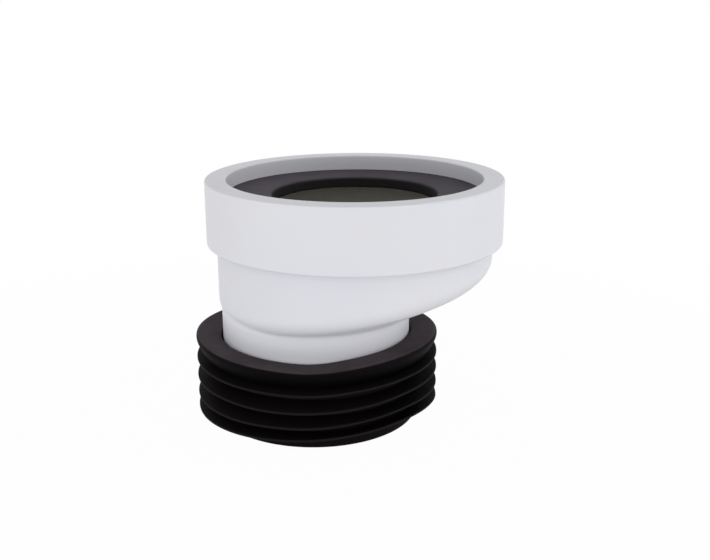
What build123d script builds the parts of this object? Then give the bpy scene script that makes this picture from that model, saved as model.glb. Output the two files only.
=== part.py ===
# Offset toilet pan connector: moulded body, clipped collar, rubber pan seal and finned rubber drain seal
import os
from math import cos, radians, sin, tan

from build123d import *

os.makedirs("parts", exist_ok=True)

# Origin on the spigot's axis at the foot, +Z up. The socket's axis is shifted along +X. All sizes in mm
wall = 3.0

# Finned drain seal
fin_diameter = 115.0
fin_count = 4
fin_pitch = 7.55
fin_tip = 1.3
fin_root = 2.2
lowest_fin_height = 7.35
flange_rise = 10.4
flange_thickness = 3.2
flange_round = 2.2
flange_foot_round = 0.7
sleeve_thickness = 3.7
nose_round = 1.5
foot_thickness = 2.5

# Body: spigot, eccentric taper and cup. The taper's slope leans by degrees from upright
spigot_diameter = 89.0
spigot_reveal = 9.2
crease_round = 3.0
slope_lean = 63.0
shoulder_round = 8.5
near_step = 0.4
cup_diameter = 130.6
cup_rise = 52.9

# Pan seal
lip_diameter = 75.2
lip_depth = 5.0
lip_thickness = 2.4
lip_round = 2.0
seal_thickness = 3.0
diaphragm_thickness = 2.2
grip_depth = 4.0
grip_thickness = 2.0

# Socket collar, clipped over a bead on the cup
clip_step = 1.5
collar_skirt = 3.2
collar_height = 29.7
collar_web = 3.5
collar_leg = 3.5
rim_width = 9.9
socket_depth = 7.3
rim_round = 0.8
mouth_round = 0.6
hook_height = 2.5
bead_height = 2.5

# Clearances
rubber_clearance = 0.1
clip_clearance = 0.3

# Radii
fin_radius = fin_diameter / 2
spigot_radius = spigot_diameter / 2
spigot_bore_radius = spigot_radius - wall
sleeve_radius = spigot_radius + sleeve_thickness
cup_radius = cup_diameter / 2
cup_bore_radius = cup_radius - wall
axis_offset = cup_radius - spigot_radius - near_step
lip_radius = lip_diameter / 2
skirt_bore_radius = cup_radius + clip_step
collar_radius = skirt_bore_radius + collar_skirt
collar_bore_radius = collar_radius - rim_width

# Heights, stacked up from the foot
top_fin_height = lowest_fin_height + (fin_count - 1) * fin_pitch
sleeve_height = top_fin_height + flange_rise
crease_height = sleeve_height + spigot_reveal
cup_top = crease_height + cup_rise
seal_top = cup_top + seal_thickness
rim_height = seal_top + socket_depth
collar_foot = rim_height - collar_height
hook_top = collar_foot + hook_height

socket_axis = Axis((axis_offset, 0, 0), (0, 0, 1))
socket_section = Plane((axis_offset, 0, 0), x_dir=(1, 0, 0), z_dir=(0, -1, 0))


def body_form(inset):
    """Spigot, taper and cup as one solid form, with its faces moved inwards by the inset."""
    lean = radians(slope_lean)
    crease = crease_round + inset
    slope_start = spigot_radius - inset + crease * (1 - cos(lean))
    slope_foot = crease_height + crease * sin(lean) - slope_start / tan(lean)
    slope_end = axis_offset + cup_diameter
    with BuildPart() as form:
        with BuildSketch(Plane((axis_offset, 0, foot_thickness))):
            Circle(cup_radius - inset)
        extrude(amount=cup_top - foot_thickness)
        # a cone round the spigot's axis cuts the cup off from below, and the edge is rolled
        with BuildSketch(Plane.XZ):
            with BuildLine():
                Polyline(
                    (0, 0),
                    (slope_end, 0),
                    (slope_end, slope_foot + slope_end / tan(lean)),
                    (0, slope_foot),
                    close=True,
                )
            make_face()
        revolve(axis=Axis.Z, mode=Mode.SUBTRACT)
        fillet(form.edges().filter_by(GeomType.BSPLINE), radius=shoulder_round - inset)
        # the spigot runs up into the cup, and the crease round it is rounded
        with BuildSketch(Plane.XY.offset(foot_thickness)):
            Circle(spigot_radius - inset)
        extrude(amount=cup_top - foot_thickness)
        fillet(form.edges(Select.NEW), radius=crease)
    return form.part


outer_form = body_form(0)
waterway = body_form(wall)

# White body: spigot, taper and cup in one moulding, with a bead that holds the collar
with BuildPart() as offset_body:
    add(outer_form)
    with BuildSketch(socket_section):
        with BuildLine():
            bead_radius = skirt_bore_radius - clip_clearance
            bead_foot = hook_top + clip_clearance
            Polyline(
                (cup_bore_radius, bead_foot),
                (bead_radius, bead_foot),
                (bead_radius, bead_foot + bead_height / 2),
                (cup_radius, bead_foot + bead_height),
                (cup_bore_radius, bead_foot + bead_height),
                close=True,
            )
        make_face()
    revolve(axis=socket_axis)
    add(waterway, mode=Mode.SUBTRACT)
offset_body.part.label = "offset_body"

# Black rubber pan seal: a flat band that clips over the cup's edge, with a turned-down lip round its hole
with BuildPart() as pan_seal:
    with BuildSketch(socket_section) as seal_section:
        with BuildLine():
            grip_foot = cup_top - grip_depth
            inner_grip = cup_bore_radius - rubber_clearance
            outer_grip = cup_radius + rubber_clearance
            edge_radius = skirt_bore_radius - rubber_clearance
            lip_outer = lip_radius + lip_thickness
            band_foot = seal_top - diaphragm_thickness
            Polyline(
                (lip_radius, seal_top),
                (edge_radius, seal_top),
                (edge_radius, grip_foot),
                (outer_grip, grip_foot),
                (outer_grip, cup_top),
                (inner_grip, cup_top),
                (inner_grip, grip_foot),
                (inner_grip - grip_thickness, grip_foot),
                (inner_grip - grip_thickness, band_foot),
                (lip_outer, band_foot),
                (lip_outer, seal_top - lip_depth),
                (lip_radius, seal_top - lip_depth),
                close=True,
            )
        make_face()
        fillet(seal_section.vertices().group_by(Axis.X)[0].sort_by(Axis.Y)[-1], radius=lip_round)
    revolve(axis=socket_axis)
pan_seal.part.label = "pan_seal"

# White collar: outer skirt with a clip hook at its foot, a flat rim and a short leg that bears on the seal
with BuildPart() as socket_collar:
    with BuildSketch(socket_section) as collar_section:
        with BuildLine():
            hook_radius = cup_radius + clip_clearance
            leg_radius = collar_bore_radius + collar_leg
            web_foot = rim_height - collar_web
            Polyline(
                (collar_bore_radius, rim_height),
                (collar_radius, rim_height),
                (collar_radius, collar_foot),
                (hook_radius, collar_foot),
                (hook_radius, hook_top),
                (skirt_bore_radius, hook_top),
                (skirt_bore_radius, web_foot),
                (leg_radius, web_foot),
                (leg_radius, seal_top),
                (collar_bore_radius, seal_top),
                close=True,
            )
        make_face()
        fillet(collar_section.vertices().sort_by(Axis.X)[-2:], radius=rim_round)
        fillet(collar_section.vertices().group_by(Axis.X)[0].sort_by(Axis.Y)[-1], radius=mouth_round)
    revolve(axis=socket_axis)
socket_collar.part.label = "socket_collar"

# Black rubber drain seal: a sleeve on the spigot with a turned-in foot, a top flange and thin fins
with BuildPart() as finned_seal:
    with BuildSketch(Plane.XZ) as sleeve_section:
        with BuildLine():
            sleeve_bore_radius = spigot_radius + rubber_clearance
            flange_foot = sleeve_height - flange_thickness
            Polyline(
                (spigot_bore_radius, 0),
                (sleeve_radius, 0),
                (sleeve_radius, flange_foot),
                (fin_radius, flange_foot),
                (fin_radius, sleeve_height),
                (sleeve_bore_radius, sleeve_height),
                (sleeve_bore_radius, foot_thickness),
                (spigot_bore_radius, foot_thickness),
                close=True,
            )
        make_face()
        for fin in range(fin_count):
            fin_height = lowest_fin_height + fin * fin_pitch
            with BuildLine():
                Polyline(
                    (sleeve_bore_radius, fin_height - fin_root / 2),
                    (sleeve_radius, fin_height - fin_root / 2),
                    (fin_radius, fin_height - fin_tip / 2),
                    (fin_radius, fin_height + fin_tip / 2),
                    (sleeve_radius, fin_height + fin_root / 2),
                    (sleeve_bore_radius, fin_height + fin_root / 2),
                    close=True,
                )
            make_face()
        fillet(sleeve_section.vertices().group_by(Axis.X)[-1].sort_by(Axis.Y)[-2], radius=flange_foot_round)
        fillet(sleeve_section.vertices().group_by(Axis.X)[-1].sort_by(Axis.Y)[-1], radius=flange_round)
        fillet(sleeve_section.vertices().group_by(Axis.Y)[0].sort_by(Axis.X)[-1], radius=nose_round)
    revolve(axis=Axis.Z)
finned_seal.part.label = "finned_seal"

for piece in (offset_body, pan_seal, socket_collar, finned_seal):
    export_step(piece.part, f"parts/{piece.part.label}.step")
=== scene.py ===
from math import atan2, cos, hypot, pi, radians, sin

import bmesh
import bpy
from mathutils import Euler, Matrix, Vector


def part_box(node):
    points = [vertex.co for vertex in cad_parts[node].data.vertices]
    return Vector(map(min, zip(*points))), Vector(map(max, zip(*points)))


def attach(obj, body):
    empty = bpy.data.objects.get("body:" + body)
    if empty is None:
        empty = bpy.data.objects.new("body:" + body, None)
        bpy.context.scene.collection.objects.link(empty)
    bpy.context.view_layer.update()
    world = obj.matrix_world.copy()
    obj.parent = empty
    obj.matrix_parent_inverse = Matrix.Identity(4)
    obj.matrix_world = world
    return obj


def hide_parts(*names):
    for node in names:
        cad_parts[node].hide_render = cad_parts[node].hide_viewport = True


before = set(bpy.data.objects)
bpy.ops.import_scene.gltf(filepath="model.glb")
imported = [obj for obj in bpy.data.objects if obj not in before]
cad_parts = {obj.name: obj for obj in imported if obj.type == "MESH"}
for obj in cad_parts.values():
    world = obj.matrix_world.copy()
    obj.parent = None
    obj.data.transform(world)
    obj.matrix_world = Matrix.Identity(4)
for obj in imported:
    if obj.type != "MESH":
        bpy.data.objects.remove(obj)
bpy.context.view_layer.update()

mm = 0.001
print("frame loaded:", ", ".join(sorted(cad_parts)))


def extent(node):
    # lowest and highest corner of a node, in mm
    return [[c / mm for c in corner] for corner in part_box(node)]


def clamped(value):
    return min(max(value, 0.0), 1.0)


def colour(red, green, blue):
    return (red, green, blue, 1.0)


# shader maths: one socket wrapped, so that sums and products of values read as plain expressions
class Wire:
    def __init__(self, finish, socket):
        self.finish = finish
        self.socket = socket

    def math(self, operation, other, flip=False, clamp=False):
        first, second = (other, self) if flip else (self, other)
        settings = {"operation": operation, "use_clamp": clamp}
        return self.finish.node("ShaderNodeMath", settings, {0: first, 1: second})

    def __add__(self, other):
        return self.math("ADD", other)

    def __radd__(self, other):
        return self.math("ADD", other, flip=True)

    def __sub__(self, other):
        return self.math("SUBTRACT", other)

    def __rsub__(self, other):
        return self.math("SUBTRACT", other, flip=True)

    def __mul__(self, other):
        return self.math("MULTIPLY", other)

    def __rmul__(self, other):
        return self.math("MULTIPLY", other, flip=True)


# the nodes of one material, or of the world
class Finish:
    def __init__(self, owner):
        self.owner = owner
        owner.use_nodes = True
        self.tree = owner.node_tree
        self.tree.nodes.clear()

    def node(self, kind, settings=None, inputs=None, out=0):
        made = self.tree.nodes.new(kind)
        for key, value in (settings or {}).items():
            setattr(made, key, value)
        for key, value in (inputs or {}).items():
            if isinstance(value, Wire):
                self.tree.links.new(value.socket, made.inputs[key])
            else:
                made.inputs[key].default_value = value
        return Wire(self, made.outputs[out]) if made.outputs else None

    def place(self):
        return self.node("ShaderNodeTexCoord", out="Object")          # metres

    def noise(self, where, scale, detail, rough):
        return self.node("ShaderNodeTexNoise", {},
                         {"Vector": where, "Scale": scale, "Detail": detail, "Roughness": rough})

    def spread(self, noise, amount):
        return (noise - 0.5) * amount          # noise runs from 0 to 1

    def ramp(self, value, low, high, first=0.0, last=1.0):
        return self.node("ShaderNodeMapRange", {"interpolation_type": "SMOOTHSTEP", "clamp": True},
                         {"Value": value, "From Min": low, "From Max": high, "To Min": first, "To Max": last})

    def fall(self, value, low, high):
        return self.ramp(value, low, high, 1.0, 0.0)

    def mix(self, factor, first, second):
        # 6, 7 and out 2 are the Mix node's colour sockets
        return self.node("ShaderNodeMix", {"data_type": "RGBA"}, {0: factor, 6: first, 7: second}, out=2)

    def spoke(self, where, centre):
        # level arrow from an upright axis to the point
        shifted = self.node("ShaderNodeMapping", {}, {"Vector": where, "Location": (-centre, 0, 0)})
        return self.node("ShaderNodeVectorMath", {"operation": "MULTIPLY"}, {0: shifted, 1: (1, 1, 0)})

    def radius(self, where, centre):
        spoke = self.spoke(where, centre)
        return self.node("ShaderNodeVectorMath", {"operation": "LENGTH"}, {0: spoke}, out="Value")

    def normal(self):
        return self.node("ShaderNodeNewGeometry", out="Normal")

    def outward(self, where, centre):
        # spoke times normal: below zero on what faces the axis
        sides = {0: self.spoke(where, centre), 1: self.normal()}
        return self.node("ShaderNodeVectorMath", {"operation": "DOT_PRODUCT"}, sides, out="Value")

    def upright(self, vector):
        return self.node("ShaderNodeSeparateXYZ", {}, {0: vector}, out="Z")

    def seen(self):
        # 1 for what the camera, a reflection or a clear surface sees, 0 for the light that falls on things
        first = self.node("ShaderNodeLightPath", out="Is Camera Ray")
        first = first + self.node("ShaderNodeLightPath", out="Is Glossy Ray")
        return first.math("ADD", self.node("ShaderNodeLightPath", out="Is Transmission Ray"), clamp=True)

    def bumps(self, broad, broadDepth, fine, fineDepth):
        # a fine bump on top of a broad one
        soft = self.node("ShaderNodeBump", {}, {"Height": broad, "Distance": broadDepth})
        return self.node("ShaderNodeBump", {}, {"Height": fine, "Distance": fineDepth, "Normal": soft})

    def coated(self, tone, rough, normal, reflect):
        return self.node("ShaderNodeBsdfPrincipled", {},
                         {"Base Color": tone, "Roughness": rough, "Normal": normal, "Specular IOR Level": reflect})

    def close(self, surface, output="ShaderNodeOutputMaterial"):
        self.node(output, {}, {"Surface": surface})
        return self.owner


# white moulded plastic of the body and the collar. Heights and depths in metres
plastic = {
    "name": "whiteMoulding",
    "tone": colour(0.735, 0.742, 0.788),
    "warmTone": colour(0.745, 0.746, 0.778),
    "warmLimits": (0.35, 0.65),
    "cloud": {"scale": 16.0, "detail": 3.0, "rough": 0.55},
    # painted shade on the spigot, darkest just above the flange
    "spigotShadeTone": colour(0.552, 0.556, 0.590),
    "spigotShadeFoot": 0.0390,
    "spigotShadeMost": 0.0412,
    "spigotShadeTop": 0.0500,
    "paintedMarkFade": 0.001,
    "spigotShadeFootShare": 0.2,
    "spigotShadeMostShare": 0.95,
    "spigotShadeTopShare": 0.31,
    # painted shade on the cup under the collar's foot
    "collarShadeTone": colour(0.692, 0.698, 0.742),
    "collarShadeFoot": 0.0790,
    "collarShadeTop": extent("socket_collar")[0][2] * mm,
    "collarShadeFull": 0.001,
    "collarShadeFade": 0.0003,
    # painted shade, darker and warmer, in the waterway
    "waterwayShadeTone": colour(0.640, 0.620, 0.560),
    "waterwayShadeTop": 0.1050,
    "waterwayShadeFade": 0.001,
    "waterwayShadeLimits": (-0.012, -0.004),
    "reflect": 0.12,
    "gloss": 0.40,
    "glossSpread": 0.16,
    "grainGloss": 0.06,
    "scuff": {"scale": 70.0, "detail": 4.0, "rough": 0.6},
    "scuffStretch": (1.0, 1.0, 6.0),
    "peel": {"scale": 240.0, "detail": 2.0, "rough": 0.4},
    "peelDepth": 0.000035,
    "grain": {"scale": 2600.0, "detail": 2.0, "rough": 0.5},
    "grainDepth": 0.000008,
}


def plasticFinish(s, centre):
    f = Finish(bpy.data.materials.new(s["name"]))
    where = f.place()
    tall = f.upright(where)
    cloud = f.noise(where, **s["cloud"])
    tone = f.mix(f.ramp(cloud, *s["warmLimits"]), s["tone"], s["warmTone"])
    # painted shade on the spigot, most of all just above the flange, fading to a lighter share just under the
    # belly's crease, where it ends
    spigotShadeEnd = s["spigotShadeTop"] - s["paintedMarkFade"]
    paintedMark = f.ramp(tall, s["spigotShadeMost"], spigotShadeEnd, s["spigotShadeMostShare"], s["spigotShadeTopShare"])
    paintedMark = paintedMark * f.fall(tall, spigotShadeEnd, s["spigotShadeTop"] + s["paintedMarkFade"])
    paintedMark = paintedMark * f.ramp(tall, s["spigotShadeFoot"], s["spigotShadeMost"], s["spigotShadeFootShare"])
    tone = f.mix(paintedMark, tone, s["spigotShadeTone"])
    # painted shade on the cup, close under the collar
    collarShade = f.ramp(tall, s["collarShadeFoot"], s["collarShadeTop"] - s["collarShadeFull"])
    collarShade = collarShade * f.fall(tall, s["collarShadeTop"] - s["collarShadeFade"], s["collarShadeTop"])
    tone = f.mix(collarShade, tone, s["collarShadeTone"])
    # painted shade, darker and warmer, in the waterway, on what faces the socket's axis below the seal
    waterwayShade = f.fall(f.outward(where, centre), *s["waterwayShadeLimits"])
    waterwayShade = waterwayShade * f.fall(tall, s["waterwayShadeTop"] - s["waterwayShadeFade"], s["waterwayShadeTop"])
    tone = f.mix(waterwayShade, tone, s["waterwayShadeTone"])
    stretched = f.node("ShaderNodeMapping", {}, {"Vector": where, "Scale": s["scuffStretch"]})
    scuff = f.noise(stretched, **s["scuff"])
    peel = f.noise(where, **s["peel"])
    grain = f.noise(where, **s["grain"])
    rough = s["gloss"] + f.spread(scuff, s["glossSpread"]) + f.spread(grain, s["grainGloss"])
    normal = f.bumps(peel, s["peelDepth"], grain, s["grainDepth"])
    return f.close(f.coated(tone, rough, normal, s["reflect"]))


# black rubber of the drain seal. Pale bloom, partly painted sheen, lies on up-facing rubber above one set height;
# a painted highlight lies on the fins' edges below another
rubber = {
    "name": "drainSealRubber",
    "tone": colour(0.0056, 0.0044, 0.0047),
    # pale bloom and painted sheen on up-facing rubber
    "bloomAndSheenTone": colour(0.0640, 0.0520, 0.0590),
    "bloomAndSheenFrom": 0.0345,
    "bloomAndSheenFade": 0.001,
    "bloomAndSheenFacing": (0.45, 0.95),
    "bloomAndSheenPatches": (0.25, 0.70, 0.55, 1.0),
    # painted shade on the flange's side
    "flangeSideShadeTone": colour(0.0008, 0.0006, 0.0006),
    "flangeSideShadeFoot": 0.0320,
    "flangeSideShadeTop": 0.0450,
    "flangeSideShadeFade": 0.0008,
    # painted highlight on the fins' edges
    "finEdgeHighlightTone": colour(0.0130, 0.0106, 0.0114),
    "finEdgeHighlightStart": 0.0007,
    "finEdgeHighlightFull": 0.0003,
    "finEdgeHighlightGrain": (0.2, 0.6, 0.75, 1.0),
    "finEdgeHighlightBelow": 0.0335,
    "paintedMarkFade": 0.001,
    "reflect": 0.022,
    "gloss": 0.58,
    "glossSpread": 0.18,
    "grainGloss": 0.12,
    "blotch": {"scale": 34.0, "detail": 4.0, "rough": 0.6},
    "wave": {"scale": 130.0, "detail": 2.0, "rough": 0.5},
    "waveDepth": 0.00006,
    "grain": {"scale": 1400.0, "detail": 3.0, "rough": 0.6},
    "grainDepth": 0.000022,
}

# softer, greyer compound of the pan seal; the pale bloom on its up-facing band is partly painted sheen
panCompound = dict(
    rubber,
    name="panSealRubber",
    tone=colour(0.0120, 0.0105, 0.0108),
    bloomAndSheenTone=colour(0.070, 0.060, 0.074),
    reflect=0.06,
)


def rubberFinish(s, centre, edgeRadius):
    f = Finish(bpy.data.materials.new(s["name"]))
    where = f.place()
    tall = f.upright(where)
    blotch = f.noise(where, **s["blotch"])
    grain = f.noise(where, **s["grain"])
    wave = f.noise(where, **s["wave"])
    # painted shade on the flange's side, darkest at its foot
    flangeSideShade = f.ramp(tall, s["flangeSideShadeFoot"] - s["flangeSideShadeFade"], s["flangeSideShadeFoot"])
    flangeSideShade = flangeSideShade * f.fall(tall, s["flangeSideShadeFoot"], s["flangeSideShadeTop"])
    tone = f.mix(flangeSideShade, s["tone"], s["flangeSideShadeTone"])
    # pale bloom on what faces up, thinner in patches, and partly painted sheen on those up-facing faces
    bloomAndSheen = f.ramp(f.upright(f.normal()), *s["bloomAndSheenFacing"]) * f.ramp(blotch, *s["bloomAndSheenPatches"])
    bloomAndSheen = bloomAndSheen * f.ramp(tall, s["bloomAndSheenFrom"] - s["bloomAndSheenFade"], s["bloomAndSheenFrom"])
    tone = f.mix(bloomAndSheen, tone, s["bloomAndSheenTone"])
    # painted highlight on the fins' edges, broken up by the grain
    paintedMark = f.ramp(f.radius(where, centre), edgeRadius - s["finEdgeHighlightStart"], edgeRadius - s["finEdgeHighlightFull"])
    paintedMark = paintedMark * f.fall(tall, s["finEdgeHighlightBelow"], s["finEdgeHighlightBelow"] + s["paintedMarkFade"])
    tone = f.mix(paintedMark * f.ramp(grain, *s["finEdgeHighlightGrain"]), tone, s["finEdgeHighlightTone"])
    rough = s["gloss"] + f.spread(blotch, s["glossSpread"]) + f.spread(grain, s["grainGloss"])
    normal = f.bumps(wave, s["waveDepth"], grain, s["grainDepth"])
    return f.close(f.coated(tone, rough, normal, s["reflect"]))


# a spun piece starts as a closed loop of corners in the XZ plane: x, z and the corner's round, in mm
spinning = {
    "roundSegments": 5,
    "longEdge": 3.0,
    "cuts": 4,
    "weld": 1e-7,          # metres
}


def spunPiece(s, corners, bend, finish):
    name, node, slot = s["name"], s["node"], s["slot"]
    bm = bmesh.new()
    verts = [bm.verts.new((x * mm, 0, z * mm)) for x, z, _ in corners]
    for first, second in zip(verts, verts[1:] + verts[:1]):
        bm.edges.new((first, second))
    rounds = sorted({r for _, _, r in corners if r > 0})
    marked = {r: [v for v, (_, _, own) in zip(verts, corners) if own == r] for r in rounds}
    for r in rounds:
        bmesh.ops.bevel(bm, geom=marked[r], offset=r * mm, offset_type="OFFSET",
                        segments=spinning["roundSegments"], profile=0.5, affect="VERTICES", material=-1)
    longEdges = [e for e in bm.edges if e.calc_length() > spinning["longEdge"] * mm]
    bmesh.ops.subdivide_edges(bm, edges=longEdges, cuts=spinning["cuts"])
    bmesh.ops.spin(bm, geom=list(bm.verts) + list(bm.edges), cent=(s["axis"] * mm, 0, 0), axis=(0, 0, 1),
                   angle=2 * pi, steps=s["steps"], use_merge=True)
    bmesh.ops.remove_doubles(bm, verts=bm.verts, dist=spinning["weld"])
    bmesh.ops.recalc_face_normals(bm, faces=bm.faces)
    for v in bm.verts:
        bend(s, v)
    mesh = bpy.data.meshes.new(name)
    bm.to_mesh(mesh)
    bm.free()
    mesh.polygons.foreach_set("use_smooth", [True] * len(mesh.polygons))
    piece = bpy.data.objects.new(name, mesh)
    bpy.context.scene.collection.objects.link(piece)
    piece.data.materials.append(finish)
    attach(piece, "root")
    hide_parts(node)
    print("spun", name, "faces", len(mesh.polygons))


# drain seal: sleeve, flange and fins. Each row of lifts bends one edge up or down, in mm, at 16 places
# counted from the camera's right by way of the back
drainHigh = extent("finned_seal")[1]
drainSeal = {
    "name": "drainSealFins",
    "node": "finned_seal",
    "slot": "black_rubber",
    "axis": 0.0,
    "steps": 224,
    "boreRadius": 41.5,
    "innerRadius": 44.6,
    "sleeveRadius": 48.2,
    "footThickness": 2.5,
    "noseRound": 1.5,
    "finRadius": drainHigh[0],
    "finHeights": (7.35, 14.9, 22.45, 30.0),
    "finTip": 0.95,
    "finRoot": 2.2,
    "finRound": 0.3,
    "rootRound": 0.4,
    "wallRadius": 54.6,
    "flangeFoot": 31.9,
    "flangeWaist": 37.4,
    "flangeRound": 1.8,
    "flangeFootRound": 0.9,
    "top": drainHigh[2],
    "topRound": 0.3,
    "grooveWide": 0.7,
    "grooveDeep": 1.3,
    "liftTurn": -23.5,
    "lifts": (
        (0.2, 0.3, 0.2, 0.0, -0.4, -0.8, -1.2, -1.6, -1.9, -1.9, -1.3, -0.4, 0.7, 2.2, 3.3, 2.4),
        (0.1, 0.2, 0.1, 0.0, -0.4, -0.9, -1.6, -2.3, -2.6, -2.5, -2.4, -1.9, -1.4, 0.1, 1.4, 0.8),
        (0.2, 0.2, 0.2, 0.1, 0.0, -0.3, -0.8, -1.3, -1.6, -1.7, -1.7, -2.1, -1.9, -0.8, 0.7, 0.6),
        (0.4, 0.5, 0.5, 0.4, 0.3, 0.2, 0.1, -0.1, -0.3, -0.4, -0.9, -1.2, -1.5, -0.4, 0.4, 0.5),
    ),
    "flangeLifts": (1.3, 0.4, -0.4, -0.3, 0.0, 0.0, 0.0, 0.7, 1.4, 1.2, 0.5, -0.1, -0.8, 0.6, 1.6, 1.7),
    "topLifts": (0.6, 0.5, 0.2, -0.1, -0.3, -0.4, -0.6, -0.8, -1.0, -1.1, -0.8, -1.1, -1.4, -0.1, 0.5, 0.7),
    "finCurl": 1.3,
    "flangeCurl": 2,
    "flangeReach": 0.7,          # how far below its foot the flange's lifts still count
    "sideStart": 1.0,          # height above its foot where the flange's side begins to follow the top
    "aside": (0.28, -0.12),
}


def drainSealCorners(s):
    bore, inner, sleeve, fin = s["boreRadius"], s["innerRadius"], s["sleeveRadius"], s["finRadius"]
    rootHalf, tipHalf = s["finRoot"] / 2, s["finTip"] / 2
    groove = inner + s["grooveWide"]
    grooveFoot = s["top"] - s["grooveDeep"]
    corners = [(bore, 0, 0), (sleeve, 0, s["noseRound"])]
    for height in s["finHeights"]:
        corners += [
            (sleeve, height - rootHalf, s["rootRound"]),
            (fin, height - tipHalf, s["finRound"]),
            (fin, height + tipHalf, s["finRound"]),
            (sleeve, height + rootHalf, s["rootRound"]),
        ]
    corners += [
        (sleeve, s["flangeFoot"], s["rootRound"]),
        (s["wallRadius"], s["flangeFoot"], s["rootRound"]),
        (fin, s["flangeWaist"], s["flangeFootRound"]),
        (fin, s["top"], s["flangeRound"]),
        (groove, s["top"], s["topRound"]),
        (groove, grooveFoot, 0),
        (inner, grooveFoot - s["grooveWide"], 0),
        (inner, s["footThickness"], 0),
        (bore, s["footThickness"], 0),
    ]
    return corners


def wrapped(values, turn):
    # smooth curve through evenly spaced values around a circle
    count = len(values)
    place = (turn / (2 * pi) * count) % count
    k = int(place)
    t = place - k
    a, b, c, d = (values[(k + i) % count] for i in (-1, 0, 1, 2))
    return b + 0.5 * t * (c - a + t * (2 * a - 5 * b + 4 * c - d + t * (3 * (b - c) + d - a)))


def bendDrainSeal(s, v):
    r = hypot(v.co.x, v.co.y) / mm
    z = v.co.z / mm
    turn = atan2(v.co.y, v.co.x) - radians(s["liftTurn"])
    share = clamped((r - s["sleeveRadius"]) / (s["finRadius"] - s["sleeveRadius"]))
    if z > s["flangeFoot"] - s["flangeReach"]:
        edge = wrapped(s["flangeLifts"], turn)
        across = (r - s["innerRadius"]) / (s["finRadius"] - s["innerRadius"])
        upper = clamped((z - s["flangeFoot"] - s["sideStart"]) / (s["flangeWaist"] - s["flangeFoot"]))
        lift = upper * ((1 - across) * wrapped(s["topLifts"], turn) + across * edge)
        lift += (1 - upper) * (1 - (1 - share) ** s["flangeCurl"]) * edge
    else:
        k = min(range(len(s["finHeights"])), key=lambda i: abs(s["finHeights"][i] - z))
        lift = share ** s["finCurl"] * wrapped(s["lifts"][k], turn)
    v.co.z += lift * mm
    v.co.x += share * s["aside"][0] * mm
    v.co.y += share * s["aside"][1] * mm


# pan seal: flat band gripped under the collar, with a thick lip turned down round its hole
panLow, panHigh = extent("pan_seal")
panSeal = {
    "name": "panSealBand",
    "node": "pan_seal",
    "slot": "black_rubber",
    "axis": (panLow[0] + panHigh[0]) / 2,
    "steps": 192,
    "lipRadius": 37.6,
    "lipFlare": 1.5,
    "lipOuter": 40.0,
    "lipFoot": 100.5,
    "lipRound": 1.3,
    "lipFootRound": 0.9,
    "top": panHigh[2],
    "bandFoot": 103.3,
    "bandRound": 0.8,
    "gripInner": 60.2,
    "gripOuter": panHigh[1],
    "gripFoot": panLow[2],
    "edgeRound": 0.3,
    "cupInner": 62.2,
    "cupOuter": 65.4,
    "cupTop": 102.5,
    "dish": 0.35,
    "dishStart": 1.0,          # how far inside the grip the dish begins
}


def panSealCorners(s):
    axis, edge = s["axis"], s["edgeRound"]
    return [
        (axis + s["lipRadius"] + s["lipFlare"], s["top"], s["lipRound"]),
        (axis + s["gripOuter"], s["top"], edge),
        (axis + s["gripOuter"], s["gripFoot"], edge),
        (axis + s["cupOuter"], s["gripFoot"], edge),
        (axis + s["cupOuter"], s["cupTop"], 0),
        (axis + s["cupInner"], s["cupTop"], 0),
        (axis + s["cupInner"], s["gripFoot"], edge),
        (axis + s["gripInner"], s["gripFoot"], edge),
        (axis + s["gripInner"], s["bandFoot"], s["bandRound"]),
        (axis + s["lipOuter"], s["bandFoot"], s["bandRound"]),
        (axis + s["lipOuter"], s["lipFoot"], s["lipFootRound"]),
        (axis + s["lipRadius"], s["lipFoot"], s["lipFootRound"]),
    ]


def dishPanSeal(s, v):
    r = hypot(v.co.x - s["axis"] * mm, v.co.y) / mm
    share = clamped((s["gripInner"] - s["dishStart"] - r) / (s["gripInner"] - s["lipOuter"]))
    v.co.z -= s["dish"] * mm * share * share


whiteMoulding = plasticFinish(plastic, panSeal["axis"] * mm)
for node in ("offset_body", "socket_collar"):
    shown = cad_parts[node].data.materials
    shown.clear()
    shown.append(whiteMoulding)
print("white plastic on the body and the collar")

drainRubber = rubberFinish(rubber, drainSeal["axis"] * mm, drainSeal["finRadius"] * mm)
panRubber = rubberFinish(panCompound, panSeal["axis"] * mm, panSeal["gripOuter"] * mm)
spunPiece(drainSeal, drainSealCorners(drainSeal), bendDrainSeal, drainRubber)
spunPiece(panSeal, panSealCorners(panSeal), dishPanSeal, panRubber)


# floor sheet that fades into the white surround, and keeps the object's shadow. Lengths in metres
studio = {
    "floorHalf": 3.0,
    "floorTone": colour(0.58, 0.58, 0.585),
    "white": colour(1.0, 1.0, 1.0),
    "whiteLevel": 1.0,
    "lift": 0.98,          # how much of the sheet's look is plain white
    "fadeFrom": 0.16,
    "fadeTo": 0.42,
    "surround": 0.655,
    "aim": (0.016, 0.0, 0.060),
    "lamps": (
        {"name": "leftStrip", "turn": -72.0, "far": 0.62, "height": 0.075,
         "long": 1.1, "tall": 0.13, "watts": 1.62},
        {"name": "rightStrip", "turn": 25.0, "far": 0.62, "height": 0.075,
         "long": 1.1, "tall": 0.13, "watts": 1.52},
        {"name": "rightHigh", "turn": 74.0, "far": 0.75, "height": 0.32,
         "long": 0.4, "tall": 0.3, "watts": 0.55},
    ),
}


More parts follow.
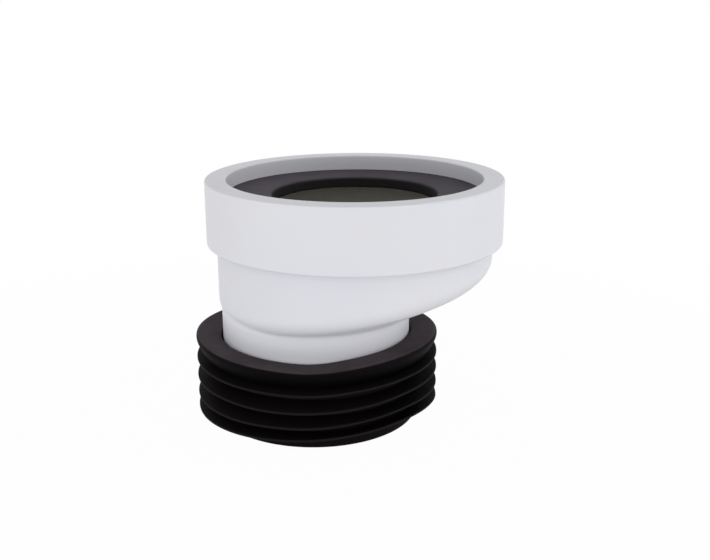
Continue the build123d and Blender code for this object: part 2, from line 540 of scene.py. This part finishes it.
def floorFinish(s):
    f = Finish(bpy.data.materials.new("floorSheet"))
    seen = f.seen()
    matt = f.node("ShaderNodeBsdfDiffuse", {}, {"Color": s["floorTone"]})
    glow = f.node("ShaderNodeEmission", {}, {"Color": s["white"], "Strength": s["whiteLevel"]})
    lifted = f.node("ShaderNodeMixShader", {}, {0: seen * s["lift"], 1: matt, 2: glow})
    away = f.ramp(f.radius(f.place(), 0.0), s["fadeFrom"], s["fadeTo"])
    clear = f.node("ShaderNodeBsdfTransparent")
    return f.close(f.node("ShaderNodeMixShader", {}, {0: away * seen, 1: lifted, 2: clear}))


def makeFloor(s):
    bm = bmesh.new()
    bmesh.ops.create_grid(bm, x_segments=1, y_segments=1, size=s["floorHalf"])
    mesh = bpy.data.meshes.new("floorSheet")
    bm.to_mesh(mesh)
    bm.free()
    sheet = bpy.data.objects.new("floorSheet", mesh)
    bpy.context.scene.collection.objects.link(sheet)
    mesh.materials.append(floorFinish(s))


def makeSurround(s):
    f = Finish(bpy.data.worlds.new("surround"))
    soft = f.node("ShaderNodeBackground", {}, {"Color": s["white"], "Strength": s["surround"]})
    plain = f.node("ShaderNodeBackground", {}, {"Color": s["white"], "Strength": s["whiteLevel"]})
    chosen = f.node("ShaderNodeMixShader", {}, {0: f.seen(), 1: soft, 2: plain})
    bpy.context.scene.world = f.close(chosen, "ShaderNodeOutputWorld")


def makeLamps(s):
    for row in s["lamps"]:
        lamp = bpy.data.lights.new(row["name"], "AREA")
        lamp.shape = "RECTANGLE"
        lamp.size, lamp.size_y = row["long"], row["tall"]
        lamp.energy = row["watts"]
        holder = bpy.data.objects.new(row["name"], lamp)
        bpy.context.scene.collection.objects.link(holder)
        turn = radians(row["turn"])
        holder.location = (sin(turn) * row["far"], -cos(turn) * row["far"], row["height"])
        holder.rotation_euler = (Vector(s["aim"]) - holder.location).to_track_quat("-Z", "Y").to_euler()


makeFloor(studio)
makeSurround(studio)
makeLamps(studio)
print("floor, surround and lamps set")

# camera as fitted to the photograph's rim, collar, spigot and fins. Its place is in mm from the upright axis
view = {
    "lens": 50.17,
    "sensor": 36.0,
    "clip": (0.01, 50.0),
    "turn": -23.5,
    "pitch": 16.22,
    "roll": -0.23,
    "away": 459.3,
    "aside": 0.35,
    "height": 195.6,
    "axis": 20.0,
}


def makeCamera(s):
    turn = radians(s["turn"])
    data = bpy.data.cameras.new("viewCamera")
    data.lens = s["lens"]
    data.sensor_width = s["sensor"]
    data.clip_start, data.clip_end = s["clip"]
    camera = bpy.data.objects.new("viewCamera", data)
    bpy.context.scene.collection.objects.link(camera)
    spot = Vector((s["axis"], 0, s["height"]))
    spot += Vector((sin(turn), -cos(turn), 0)) * s["away"] + Vector((cos(turn), sin(turn), 0)) * s["aside"]
    look = Euler((radians(90 - s["pitch"]), 0, turn)).to_matrix()
    look = look @ Matrix.Rotation(radians(s["roll"]), 3, "Z")
    camera.matrix_world = Matrix.LocRotScale(spot * mm, look, None)
    bpy.context.scene.camera = camera


makeCamera(view)
bpy.context.scene.view_settings.view_transform = "Standard"
print("camera set")
